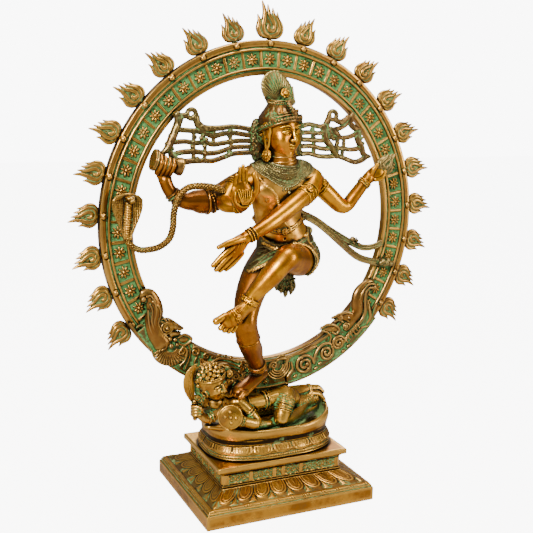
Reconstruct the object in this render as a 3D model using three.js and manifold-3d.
// Brass dancing figure inside a flaming arch, on a stepped plinth.
// Millimetres, +Z up. The front faces -Y and the viewer's right is +X.
// The origin is on the floor, at the centre of the plinth.

import * as THREE from 'three';
import { mergeVertices } from 'three/addons/utils/BufferGeometryUtils.js';
import Module from 'manifold-3d';

const wasm = await Module();
wasm.setup();

// ---------------------------------------------------------------- driving dimensions
const GAP = 0.3; // between two castings that touch

const FOOT = { halfX: 135.7, halfY: 109, edge: 21, beadTop: 28, top: 41.7, wall: 6.5 };
const DADO = { halfX: 97, halfY: 70, bottom: 42, top: 65.7, wall: 6 };
const CAP = { halfX: 106, halfY: 75, bottom: 66, top: 74.6, holeX: 84, holeY: 55 };
const LOTUS = { bottom: 74.9, halfX: 102, halfY: 71, waist: 99, rim: 118, rimRise: 12, wall: 7, power: 2.8 };
const CAVITY_TOP = 101;
const TRAY_FLOOR = 110;

const ARCH = { centreZ: 420.3, stretch: 1.0388, inner: 206, outer: 254, front: 8, back: 22 };
const CHANNEL = { inner: 217, outer: 239, floor: 12 };
const ARCH_BACK = { inner: 212, outer: 248, floor: 18.5 };
const FLAME = { count: 21, stepDeg: 12.34, length: 41, width: 33, thickness: 8, crestScale: 1.28 };
const POST = { halfX: 45, front: 9, back: 23, bottom: TRAY_FLOOR + GAP };

const ROD = { radius: 4, bottom: 48, top: 107 };
const STRAP = { halfX: 89, halfY: 10, thickness: 5 };
const NUT = { radius: 8, height: 7 };
const BOLT = { x: 28, y: 16, shank: 3, head: 5.5, headHeight: 4, top: 130 };

const BRASS = 0xb9741f;
const DARK_BRASS = 0x6e4a1c;
const GREEN_BRASS = 0x54653a;
const STEEL = 0x8b8f93;

// ---------------------------------------------------------------- solids
function toSolid(geometry) {
  const bare = geometry.clone();
  bare.deleteAttribute('normal');
  bare.deleteAttribute('uv');
  const merged = mergeVertices(bare, 1e-4);
  const make = (triVerts) => new wasm.Manifold(
    new wasm.Mesh({ numProp: 3, vertProperties: new Float32Array(merged.attributes.position.array), triVerts }),
  );
  const triangles = new Uint32Array(merged.index.array);
  const made = make(triangles);
  return made.volume() > 0 ? made : make(triangles.reverse());
}

function toGeometry(manifold) {
  const mesh = manifold.getMesh();
  const geometry = new THREE.BufferGeometry();
  geometry.setAttribute('position', new THREE.BufferAttribute(new Float32Array(mesh.vertProperties), 3));
  geometry.setIndex(new THREE.BufferAttribute(new Uint32Array(mesh.triVerts), 1));
  geometry.computeVertexNormals();
  return geometry;
}

// A closed skin through a list of loops, each with the same number of points.
function skin(loops) {
  const sides = loops[0].length;
  const positions = [];
  const index = [];
  const addPoint = (p) => positions.push(p.x, p.y, p.z);
  loops.forEach((loop) => loop.forEach(addPoint));
  for (let i = 0; i + 1 < loops.length; i += 1) {
    for (let j = 0; j < sides; j += 1) {
      const a = i * sides + j;
      const b = i * sides + ((j + 1) % sides);
      index.push(a, b, b + sides, a, b + sides, a + sides);
    }
  }
  const middle = (loop) => loop.reduce((sum, p) => sum.add(p), new THREE.Vector3()).divideScalar(sides);
  const first = positions.length / 3;
  const lastLoop = (loops.length - 1) * sides;
  addPoint(middle(loops[0]));
  addPoint(middle(loops[loops.length - 1]));
  for (let j = 0; j < sides; j += 1) {
    const next = (j + 1) % sides;
    index.push(first, next, j, first + 1, lastLoop + j, lastLoop + next);
  }
  const geometry = new THREE.BufferGeometry();
  geometry.setAttribute('position', new THREE.Float32BufferAttribute(positions, 3));
  geometry.setIndex(index);
  return toSolid(geometry);
}

// A limb through points [x, y, z, radius]. `wide` turns the section into an oval whose long
// half-axis lies along that direction; `thin` is the other half-axis as a share of the radius.
function limb(points, { grow = 0, sides = 8, steps = points.length * 2, wide = null, thin = 1 } = {}) {
  const curve = new THREE.CatmullRomCurve3(points.map(([x, y, z]) => new THREE.Vector3(x, y, z)), false, 'centripetal');
  const radiusAt = (t) => {
    const place = t * (points.length - 1);
    const i = Math.min(Math.floor(place), points.length - 2);
    return THREE.MathUtils.lerp(points[i][3], points[i + 1][3], place - i);
  };
  let side = wide ? new THREE.Vector3(...wide) : new THREE.Vector3(0.31, 0.87, 0.39);
  const section = (centre, tangent, radius) => {
    side = (wide ? new THREE.Vector3(...wide) : side).projectOnPlane(tangent).normalize();
    const up = new THREE.Vector3().crossVectors(tangent, side);
    return Array.from({ length: sides }, (_, j) => {
      const angle = (2 * Math.PI * j) / sides;
      return centre.clone()
        .addScaledVector(side, Math.cos(angle) * (radius + grow))
        .addScaledVector(up, Math.sin(angle) * (radius * thin + grow));
    });
  };
  const loops = [];
  const endCap = (t, direction) => {
    const tangent = curve.getTangent(t);
    const radius = radiusAt(t);
    const centre = curve.getPoint(t).addScaledVector(tangent, direction * (radius * thin * 0.6 + grow));
    return section(centre, tangent, radius * 0.55);
  };
  loops.push(endCap(0, -1));
  for (let i = 0; i <= steps; i += 1) {
    loops.push(section(curve.getPoint(i / steps), curve.getTangent(i / steps), radiusAt(i / steps)));
  }
  loops.push(endCap(1, 1));
  return skin(loops);
}

// A stack of level ovals [z, halfX, halfY, centreX, centreY].
function ovalStack(levels, { sides = 24, power = 2, grow = 0 } = {}) {
  return skin(levels.map(([z, halfX, halfY, x = 0, y = 0], level) => {
    const end = level === 0 ? -grow : 0;
    const lift = level === levels.length - 1 ? grow : end;
    return Array.from({ length: sides }, (_, j) => {
      const [c, s] = [Math.cos((2 * Math.PI * j) / sides), Math.sin((2 * Math.PI * j) / sides)];
      return new THREE.Vector3(
        x + Math.sign(c) * Math.abs(c) ** (2 / power) * (halfX + grow),
        y + Math.sign(s) * Math.abs(s) ** (2 / power) * (halfY + grow),
        z + lift,
      );
    });
  }));
}

// A stack of level rectangles [z, halfX, halfY].
function boxStack(levels) {
  return skin(levels.map(([z, x, y]) => [
    new THREE.Vector3(x, -y, z), new THREE.Vector3(x, y, z),
    new THREE.Vector3(-x, y, z), new THREE.Vector3(-x, -y, z),
  ]));
}

function blob(x, y, z, radiusX, radiusY, radiusZ, { grow = 0, across = 10, down = 7 } = {}) {
  const geometry = new THREE.SphereGeometry(1, across, down);
  geometry.scale(radiusX + grow, radiusY + grow, radiusZ + grow);
  return toSolid(geometry.translate(x, y, z));
}

// A flat outline in the XZ plane, given thickness along Y from `front` to `back`.
function plate(outline, front, back) {
  const geometry = new THREE.ExtrudeGeometry(new THREE.Shape(outline), { depth: back - front, bevelEnabled: false });
  geometry.rotateX(Math.PI / 2);
  return toSolid(geometry.translate(0, back, 0));
}

function upright(radius, bottom, top, x = 0, y = 0, sides = 16) {
  const geometry = new THREE.CylinderGeometry(radius, radius, top - bottom, sides);
  geometry.rotateX(Math.PI / 2);
  return toSolid(geometry.translate(x, y, (top + bottom) / 2));
}

const join = (first, ...others) => others.reduce((sum, other) => sum.add(other), first);

// What is left of a solid after its neighbours are cut out, without loose crumbs.
function cutBy(solid, ...neighbours) {
  const left = neighbours.reduce((sum, other) => sum.subtract(other), solid);
  return left.decompose().sort((a, b) => b.volume() - a.volume())[0];
}

// ---------------------------------------------------------------- plinth
function plinthFoot() {
  const { halfX, halfY, edge, beadTop, top, wall } = FOOT;
  const outside = boxStack([
    [0, halfX, halfY], [edge, halfX, halfY], [edge + 3, halfX - 3, halfY - 2],
    [beadTop, halfX - 10.7, halfY - 6], [34, 112, 89], [top - 1.5, 99, 73], [top, 98, 72],
  ]);
  const inside = boxStack([
    [-1, halfX - wall, halfY - wall], [edge - 3, halfX - wall, halfY - wall],
    [beadTop - 6, 112, 88], [33, 93, 66], [top + 1, DADO.halfX - DADO.wall, DADO.halfY - DADO.wall],
  ]);
  return outside.subtract(inside);
}

function plinthDado() {
  const { halfX, halfY, bottom, top, wall } = DADO;
  const outside = boxStack([[bottom, halfX + 1, halfY + 1], [bottom + 3, halfX, halfY], [top, halfX, halfY]]);
  const hollow = boxStack([[bottom - 1, halfX - wall, halfY - wall], [top + 1, halfX - wall, halfY - wall]]);
  return outside.subtract(hollow);
}

function plinthCap() {
  const { halfX, halfY, bottom, top, holeX, holeY } = CAP;
  const slab = boxStack([[bottom, halfX - 1, halfY - 1], [bottom + 1.5, halfX, halfY], [top, halfX, halfY]]);
  return slab.subtract(boxStack([[bottom - 1, holeX, holeY], [top + 1, holeX, holeY]]));
}

// The lotus cushion, its waist and the boat-shaped tray above it, cast as one shell.
function lotusShell(grow = 0) {
  const { bottom, halfX, halfY, waist, rim, power } = LOTUS;
  const outside = ovalStack([
    [bottom, halfX, halfY], [79, halfX + 1, halfY + 1], [88, halfX - 1, halfY - 3],
    [95, 97, 63], [waist, 92, 57], [103, 92, 57], [108, 98, 62], [rim, 101, 64],
  ], { sides: 28, power, grow });
  const tray = ovalStack([[TRAY_FLOOR - grow, 90, 53], [rim - 1, 96, 59], [rim + 2, 97, 60]], { sides: 28, power });
  return outside.subtract(tray);
}

// The two ends of the tray sweep up like a boat's.
function trayEnd(side) {
  const { rim, rimRise } = LOTUS;
  const arc = (radiusX, radiusY, z) => [-70, -45, -15, 15, 45, 70].map((degrees) => {
    const angle = THREE.MathUtils.degToRad(degrees);
    const lift = z * Math.cos(angle) ** 2;
    return new THREE.Vector3(side * radiusX * Math.cos(angle) ** 0.8, radiusY * Math.sin(angle), rim - 3 + lift);
  });
  const outerLow = arc(99, 63, 0);
  const outerTop = arc(102, 64, rimRise + 3);
  const innerTop = arc(96, 59, rimRise + 3);
  const innerLow = arc(94.5, 58, 0);
  const loops = outerLow.map((_, i) => [outerLow[i], outerTop[i], innerTop[i], innerLow[i]]);
  return skin(side > 0 ? loops : loops.reverse());
}

function lotusPedestal() {
  const cavity = ovalStack([
    [LOTUS.bottom - 1, 92, 61], [88, 90, 58], [95, 86, 52], [CAVITY_TOP, 82, 47],
  ], { sides: 24, power: LOTUS.power });
  const shell = join(lotusShell(), trayEnd(1), trayEnd(-1)).subtract(cavity);
  return cutBy(shell, rod(GAP), bolt(1, GAP), bolt(-1, GAP));
}

// ---------------------------------------------------------------- hidden fixings
function rod(grow = 0) {
  return upright(ROD.radius + grow, ROD.bottom, ROD.top + grow);
}

function strap() {
  const top = CAP.bottom - GAP;
  const bar = boxStack([[top - STRAP.thickness, STRAP.halfX, STRAP.halfY], [top, STRAP.halfX, STRAP.halfY]]);
  return bar.subtract(rod(GAP));
}

function nut() {
  const top = CAP.bottom - STRAP.thickness - 2 * GAP;
  return upright(NUT.radius, top - NUT.height, top, 0, 0, 6).subtract(rod(GAP));
}

function bolt(side, grow = 0) {
  const { x, y, shank, head, headHeight, top } = BOLT;
  const seat = CAVITY_TOP - GAP;
  return join(
    upright(shank + grow, seat - 1, top + grow, side * x, y, 10),
    upright(head, seat - headHeight, seat, side * x, y, 6),
  );
}

// ---------------------------------------------------------------- arch
// A point on the arch: `radius` from its centre, `angle` from the top towards the viewer's right.
function archPoint(radius, angle, y) {
  return new THREE.Vector3(
    radius * Math.sin(angle), y, ARCH.centreZ + ARCH.stretch * radius * Math.cos(angle),
  );
}

function archRing(grow = 0) {
  const { inner, outer, front, back } = ARCH;
  const segments = 64;
  const profile = [
    [inner - grow, front - grow], [inner - grow, back + grow],
    [ARCH_BACK.inner, back + grow], [ARCH_BACK.inner + 2, ARCH_BACK.floor + grow],
    [ARCH_BACK.outer - 2, ARCH_BACK.floor + grow], [ARCH_BACK.outer, back + grow],
    [outer + grow, back + grow], [outer + grow, front - grow],
    [CHANNEL.outer, front - grow], [CHANNEL.outer - 1, CHANNEL.floor - grow],
    [CHANNEL.inner + 1, CHANNEL.floor - grow], [CHANNEL.inner, front - grow],
  ];
  const count = profile.length;
  const positions = [];
  const index = [];
  for (let i = 0; i < segments; i += 1) {
    profile.forEach(([radius, y]) => positions.push(...archPoint(radius, (2 * Math.PI * i) / segments, y).toArray()));
    for (let j = 0; j < count; j += 1) {
      const a = i * count + j;
      const b = i * count + ((j + 1) % count);
      const turn = count * segments;
      const c = (a + count) % turn;
      const d = (b + count) % turn;
      index.push(a, b, d, a, d, c);
    }
  }
  const geometry = new THREE.BufferGeometry();
  geometry.setAttribute('position', new THREE.Float32BufferAttribute(positions, 3));
  geometry.setIndex(index);
  return toSolid(geometry);
}

function archPost() {
  const { halfX, front, back, bottom } = POST;
  const outline = [[-halfX - 6, bottom], [halfX + 6, bottom], [halfX, 148], [halfX, 178], [-halfX, 178], [-halfX, 148]];
  const block = plate(outline.map(([x, z]) => new THREE.Vector2(x, z)), front, back);
  return cutBy(block, archRing(GAP), bolt(1, GAP), bolt(-1, GAP));
}

// One tongue of fire, its stem at the origin and its tip up; `lean` is 1 or -1.
function flameOutline(lean) {
  const { length, width } = FLAME;
  const points = [
    [-0.09, 0], [-0.07, 0.14], [-0.34, 0.2], [-0.5, 0.38], [-0.42, 0.58], [-0.33, 0.5], [-0.28, 0.74],
    [-0.16, 0.66], [-0.02, 1], [0.08, 0.72], [0.2, 0.8], [0.24, 0.56], [0.4, 0.62], [0.5, 0.36],
    [0.34, 0.2], [0.07, 0.14], [0.09, 0],
  ];
  return points.map(([x, z]) => new THREE.Vector2(lean * x * width, z * length));
}

// ---------------------------------------------------------------- makaras and the carved lower band
// A curved bar lying on the front of the arch between two angles, with stations
// [degrees, inner radius, outer radius, front].
function archBand(stations, back, sign) {
  const loops = stations.map(([degrees, inner, outer, front]) => {
    const angle = THREE.MathUtils.degToRad(sign * degrees);
    return [archPoint(inner, angle, back), archPoint(inner + 4, angle, front),
      archPoint(outer - 4, angle, front), archPoint(outer, angle, back)];
  });
  return skin(sign > 0 ? loops : loops.reverse());
}

function makara(sign) {
  const back = ARCH.front - GAP - 0.2;
  const band = archBand([
    [114, 208, 252, 2], [121, 198, 253, -6], [129, 197, 254, -8], [137, 188, 255, -8],
    [143, 186, 255, -5], [152, 203, 255, -2], [163, 208, 254, 0], [171, 210, 252, 2],
  ], back, sign);
  return band;
}

// ---------------------------------------------------------------- dancing figure
// Each piece is a function of `grow`, so that a neighbour can be cut clear of it.
function torso(grow = 0) {
  return ovalStack([
    [382, 32, 23, 13, -24], [398, 33, 22, 11, -24], [416, 34, 21, 8, -24], [436, 38, 21, 5, -24],
    [458, 42, 23, 4, -24], [476, 48, 23, 4, -23], [489, 50, 18, 4, -22], [498, 30, 16, 6, -23],
    [506, 19, 15, 7, -24], [524, 18, 15, 6, -23],
  ], { sides: 14, grow });
}

function head(grow = 0) {
  return join(
    blob(4, -27, 553, 28, 29, 35, { grow, across: 12, down: 9 }),
    blob(-28, -20, 532, 8, 8, 15, { grow, across: 8, down: 6 }),
    blob(36, -20, 532, 8, 8, 15, { grow, across: 8, down: 6 }),
    blob(4, -8, 530, 32, 12, 17, { grow, across: 10, down: 7 }),
  );
}

function crown(grow = 0) {
  return ovalStack([
    [565, 31, 32, 5, -25], [577, 31, 32, 5, -24], [588, 25, 26, 5, -21], [597, 19, 19, 5, -18], [602, 12, 11, 5, -15],
  ], { sides: 14, grow });
}

function crestFan() {
  const outline = [
    [-9, 0], [-22, 12], [-26, 28], [-16, 42], [0, 50], [12, 46], [24, 32], [27, 14], [10, 0],
  ];
  const fan = plate(outline.map(([x, z]) => new THREE.Vector2(x, z)), -5, 5);
  return fan.rotate([-14, 0, 0]).translate([6, -11, 594]);
}

const strand = (points) => limb(points, { sides: 5, steps: Math.max(2, points.length) });

function hairWingLeft() {
  return join(
    strand([[-22, -13, 556, 4], [-47, -11, 558, 3.5], [-83, -7, 559, 3.5], [-115, -4, 563, 3.5], [-120, -4, 576, 4]]),
    strand([[-22, -13, 548, 4], [-62, -9, 551, 3.5], [-106, -5, 553, 3.5], [-144, -2, 557, 3]]),
    strand([[-22, -13, 541, 4], [-62, -9, 541, 3.5], [-104, -5, 539, 3.5], [-151, -1, 540, 3]]),
    strand([[-22, -13, 534, 4], [-62, -9, 533, 3.5], [-104, -5, 524, 3.5], [-155, -1, 523, 3.5]]),
    strand([[-22, -13, 527, 4], [-62, -9, 525, 3.5], [-93, -6, 514, 3.5], [-136, -2, 511, 4]]),
    strand([[-48, -11, 561, 3], [-48, -11, 524, 3]]),
    strand([[-80, -8, 561, 3], [-80, -8, 516, 3]]),
    strand([[-106, -5, 560, 3.5], [-106, -5, 512, 3.5]]),
    strand([[-118, -4, 574, 4], [-132, -3, 583, 3.5], [-146, -2, 578, 3.5], [-145, -2, 562, 3.5],
      [-152, -1, 546, 3.5], [-157, 0, 534, 4], [-168, 1, 527, 4]]),
  );
}

function hairWingRight() {
  return join(
    strand([[30, -13, 560, 4], [57, -9, 565, 3.5], [83, -6, 562, 3.5], [92, -5, 575, 4], [104, -4, 582, 3.5],
      [122, -2, 577, 3.5]]),
    strand([[30, -13, 552, 4], [76, -7, 552, 3.5], [96, -5, 555, 3.5], [124, -2, 566, 3.5]]),
    strand([[30, -13, 543, 4], [79, -6, 541, 3.5], [120, -2, 545, 3.5], [145, 1, 552, 3.5]]),
    strand([[30, -13, 533, 4], [81, -6, 529, 3.5], [115, -3, 529, 3.5], [148, 0, 528, 3]]),
    strand([[30, -13, 524, 4], [75, -7, 518, 3.5], [107, -4, 518, 3.5], [140, -1, 508, 4], [165, 2, 516, 4]]),
    strand([[58, -9, 568, 3], [58, -9, 518, 3]]),
    strand([[86, -6, 562, 3.5], [86, -6, 516, 3.5]]),
    strand([[120, -2, 579, 3.5], [131, -1, 567, 4], [141, 0, 554, 3.5], [147, 0, 538, 3.5], [152, 1, 524, 3.5],
      [154, 1, 514, 3.5]]),
  );
}

function armBlessing(grow = 0) {
  return join(
    limb([[-48, -22, 485, 12], [-72, -28, 472, 11.5], [-90, -36, 457, 11], [-82, -52, 454, 10], [-72, -66, 458, 7.5]], { grow }),
    limb([[-73, -67, 458, 9], [-75, -72, 478, 13], [-79, -76, 506, 9]], { grow, wide: [1, 0, 0], thin: 0.5, steps: 4 }),
  );
}

function armDrum(grow = 0) {
  return join(
    limb([[-46, -10, 484, 12], [-82, -13, 469, 11.5], [-110, -15, 451, 11], [-132, -17, 460, 9.5], [-156, -18, 472, 7.5]], { grow }),
    limb([[-158, -18, 474, 8], [-169, -20, 486, 9], [-174, -24, 502, 6]], { grow, thin: 0.7, wide: [0.6, 0.7, 0], steps: 4 }),
  );
}

function drum(grow = 0) {
  const centre = new THREE.Vector3(-166, -20, 508);
  const axis = new THREE.Vector3(0.94, -0.05, -0.24).normalize();
  const at = (along, radius) => [...centre.clone().addScaledVector(axis, along).toArray(), radius];
  return limb([at(-20, 14), at(-10, 10), at(0, 6.5), at(10, 10), at(20, 14)], { grow, sides: 10, steps: 4 });
}

function armFire(grow = 0) {
  return join(
    limb([[56, -10, 482, 12], [90, -12, 461, 11.5], [118, -10, 438, 11], [138, -11, 457, 9.5], [156, -12, 480, 7.5]], { grow }),
    limb([[157, -12, 482, 8], [168, -14, 494, 10], [180, -16, 503, 7]], { grow, thin: 0.6, wide: [0.5, 0.8, -0.3], steps: 4 }),
  );
}

function handFlame() {
  return limb([[181, -17, 500, 11], [187, -17, 510, 13], [192, -16, 520, 9], [197, -15, 530, 4]], { thin: 0.55, wide: [1, 0, 0] });
}

function armAcross(grow = 0) {
  return join(
    limb([[52, -24, 485, 13], [40, -40, 467, 12.5], [17, -54, 454, 12], [-10, -64, 441, 11], [-35, -72, 429, 9.5],
      [-62, -78, 417, 7.5]], { grow }),
    limb([[-64, -78, 416, 8], [-84, -80, 403, 11], [-103, -79, 384, 10], [-117, -77, 371, 6]], { grow, thin: 0.5, wide: [0.6, 0, 0.7] }),
    limb([[-78, -82, 413, 4], [-100, -87, 409, 4], [-117, -88, 403, 3]], { grow, sides: 6, steps: 2 }),
  );
}

function legStanding(grow = 0) {
  return join(
    limb([[-4, -24, 372, 26], [-26, -38, 345, 25], [-52, -56, 312, 20], [-66, -62, 290, 17], [-58, -50, 262, 16.5],
      [-42, -38, 235, 14], [-26, -26, 212, 10.5], [-20, -22, 200, 10]], { grow }),
    limb([[-14, -20, 194, 10], [-36, -32, 190, 12], [-60, -48, 185, 12], [-78, -60, 182, 8]], { grow, thin: 0.7, wide: [0.5, -0.8, 0] }),
  );
}

function legRaised(grow = 0) {
  return join(
    limb([[34, -32, 366, 27], [16, -58, 372, 25], [-4, -80, 382, 21], [-18, -82, 372, 18], [-32, -79, 356, 17.5],
      [-48, -75, 340, 13], [-60, -72, 325, 9.5]], { grow }),
    limb([[-57, -68, 316, 9.5], [-72, -75, 315, 12], [-90, -82, 309, 13], [-110, -88, 304, 10]], { grow, thin: 0.55, wide: [0.3, 0.3, 0.9] }),
  );
}

function hipCloth(grow = 0) {
  return ovalStack([
    [346, 26, 19, 30, -24], [362, 38, 26, 26, -25], [380, 41, 28, 20, -25], [396, 36, 25, 15, -25], [404, 33, 22, 13, -24],
  ], { sides: 14, grow });
}

function clothTail() {
  return limb([[20, -18, 344, 13], [21, -19, 330, 12], [22, -20, 316, 10]], { sides: 8, thin: 0.5, wide: [1, 0, 0], steps: 3 });
}

function sashUpper() {
  return limb([
    [40, -16, 434, 7], [75, -14, 421, 7], [109, -10, 400, 7], [137, -6, 384, 7], [161, -3, 374, 6.5], [182, 0, 372, 6],
    [200, 2, 377, 5],
  ], { sides: 6, thin: 0.45, wide: [0.4, 0, 0.9] });
}

function sashLower() {
  return limb([
    [44, -24, 424, 6], [82, -20, 408, 6], [113, -14, 387, 6], [141, -9, 364, 6.5], [168, -5, 350, 7], [191, -1, 346, 8],
    [216, 0, 346, 7],
  ], { sides: 6, thin: 0.45, wide: [0.4, 0, 0.9] });
}

function cobra() {
  const body = [
    [-95, -30, 476, 5], [-110, -32, 479, 5.5], [-125, -34, 481, 6], [-141, -34, 479, 6], [-153, -34, 469, 6],
    [-159, -33, 453, 6], [-159, -29, 428, 6], [-165, -23, 407, 6.5], [-180, -15, 393, 7], [-201, -9, 391, 7.5],
    [-216, -5, 400, 8], [-222, -3, 415, 9],
  ];
  return join(
    limb(body, { sides: 6, steps: 18 }),
    limb([[-222, -3, 413, 9], [-223, -3, 430, 15], [-220, -3, 448, 22], [-219, -4, 462, 20], [-218, -7, 471, 8]],
      { sides: 8, thin: 0.32, wide: [1, 0, 0], steps: 6 }),
    blob(-218, -10, 469, 6, 8, 5, { across: 8, down: 6 }),
  );
}

// ---------------------------------------------------------------- demon underfoot
function demonBody(grow = 0) {
  return join(
    limb([[-86, -32, 172, 15], [-66, -34, 162, 20], [-38, -33, 150, 22], [-8, -31, 150, 22], [14, -32, 152, 20]], { grow, sides: 10 }),
    limb([[8, -34, 156, 17], [8, -46, 142, 17], [6, -50, 128, 14]], { grow, steps: 3 }),
    limb([[6, -46, 126, 12], [34, -34, 127, 12], [58, -18, 136, 10], [80, -8, 143, 8]], { grow }),
    limb([[66, -10, 138, 9], [80, -8, 146, 7], [98, -8, 136, 6]], { grow, steps: 3 }),
    limb([[-56, -40, 158, 12], [-42, -50, 142, 11], [-38, -54, 130, 10], [-60, -62, 133, 8]], { grow }),
    limb([[-84, -34, 160, 11], [-98, -42, 146, 9], [-112, -40, 142, 8], [-128, -40, 152, 7]], { grow }),
    ovalStack([[116, 84, 44, -4, -8], [130, 74, 34, -6, -6], [140, 50, 22, -10, -4]], { sides: 12, grow }),
  );
}

function demonHead(grow = 0) {
  return join(
    blob(-101, -42, 193, 19, 20, 20, { grow, across: 12, down: 8 }),
    blob(-106, -30, 200, 18, 16, 17, { grow, across: 10, down: 7 }),
  );
}

function demonSword() {
  return join(
    limb([[-128, -50, 148, 3.5], [-131, -46, 170, 3.5]], { sides: 6, steps: 2 }),
    limb([[-131, -46, 166, 4], [-138, -40, 188, 8.5], [-137, -36, 206, 9.5], [-131, -33, 222, 4]],
      { sides: 8, thin: 0.3, wide: [1, 0, 0.2], steps: 6 }),
  );
}

function demonShield() {
  const axis = new THREE.Vector3(-0.3, -0.9, 0.25).normalize();
  const at = (along, radius) => [...new THREE.Vector3(-88, -72, 151).addScaledVector(axis, along).toArray(), radius];
  return limb([at(-2, 19), at(1, 18), at(4, 10)], { sides: 16, steps: 2, thin: 1 });
}

// ---------------------------------------------------------------- assembly
const statue = new THREE.Group();

function addPiece(name, solid, color = BRASS, metalness = 0.9, roughness = 0.38) {
  const material = new THREE.MeshStandardMaterial({ color, metalness, roughness });
  const mesh = new THREE.Mesh(toGeometry(solid), material);
  mesh.name = name;
  statue.add(mesh);
  return mesh;
}

function addPlinth() {
  addPiece('plinth_foot', plinthFoot());
  addPiece('plinth_dado', plinthDado(), GREEN_BRASS);
  addPiece('plinth_cap', plinthCap());
  addPiece('lotus_pedestal', lotusPedestal());
  addPiece('tie_rod', rod(), STEEL);
  addPiece('tie_strap', strap(), DARK_BRASS);
  addPiece('tie_nut', nut(), STEEL);
  addPiece('arch_bolt_left', bolt(-1), STEEL);
  addPiece('arch_bolt_right', bolt(1), STEEL);
}

function addArch() {
  addPiece('arch_post', archPost(), DARK_BRASS);
  addPiece('arch_ring', archRing());
  addPiece('makara_left', cutBy(makara(-1), demonHead(GAP), demonBody(GAP)), GREEN_BRASS);
  addPiece('makara_right', cutBy(makara(1), demonBody(GAP)), GREEN_BRASS);
  const half = (FLAME.count - 1) / 2;
  for (let i = 0; i < FLAME.count; i += 1) {
    const place = i - half;
    const angle = THREE.MathUtils.degToRad(place * FLAME.stepDeg);
    const root = archPoint(ARCH.outer + GAP + 0.4, angle, ARCH.back - 3);
    const tongue = plate(flameOutline(place > 0 ? -1 : 1), -FLAME.thickness, 0);
    const scale = place === 0 ? FLAME.crestScale : 1;
    const flame = addPiece(`flame_${String(i + 1).padStart(2, '0')}`, tongue);
    flame.position.copy(root);
    flame.scale.set(scale, 1, scale);
    flame.rotation.y = angle;
  }
}

function addDemon() {
  const bed = lotusShell(GAP);
  const post = archPost();
  addPiece('demon_body', cutBy(demonBody(), bed, post, demonHead(GAP)));
  addPiece('demon_head', demonHead(), GREEN_BRASS);
  addPiece('demon_sword', cutBy(demonSword(), demonBody(GAP), demonHead(GAP)));
  addPiece('demon_shield', cutBy(demonShield(), demonBody(GAP), demonHead(GAP), bed));
}

function addFigure() {
  const trunk = torso(GAP);
  const cloth = hipCloth(GAP);
  addPiece('torso', torso());
  addPiece('hip_cloth', cutBy(hipCloth(), trunk), GREEN_BRASS);
  addPiece('leg_standing', cutBy(legStanding(), trunk, cloth, legRaised(GAP), demonBody(GAP), demonHead(GAP)));
  addPiece('leg_raised', cutBy(legRaised(), trunk, cloth));
  addPiece('cloth_tail', cutBy(clothTail(), trunk, cloth, legStanding(GAP), legRaised(GAP)), GREEN_BRASS);
  addPiece('head', cutBy(head(), trunk));
  addPiece('crown', cutBy(crown(), head(GAP)));
  addPiece('crest_fan', cutBy(crestFan(), crown(GAP), head(GAP)), GREEN_BRASS);
  addPiece('hair_wing_left', cutBy(hairWingLeft(), head(GAP), crown(GAP), trunk), GREEN_BRASS);
  addPiece('hair_wing_right', cutBy(hairWingRight(), head(GAP), crown(GAP), trunk), GREEN_BRASS);
  addPiece('arm_blessing', cutBy(armBlessing(), trunk));
  addPiece('arm_drum', cutBy(armDrum(), trunk, armBlessing(GAP)));
  addPiece('arm_fire', cutBy(armFire(), trunk));
  addPiece('arm_across', cutBy(armAcross(), trunk, armFire(GAP)));
  addPiece('drum', cutBy(drum(), armDrum(GAP)));
  addPiece('hand_flame', cutBy(handFlame(), armFire(GAP)));
  addPiece('sash_upper', cutBy(sashUpper(), trunk, cloth));
  addPiece('sash_lower', cutBy(sashLower(), trunk, cloth));
  addPiece('cobra', cutBy(cobra(), armDrum(GAP), armBlessing(GAP), drum(GAP)));
}

addPlinth();
addArch();
addDemon();
addFigure();

export default statue;
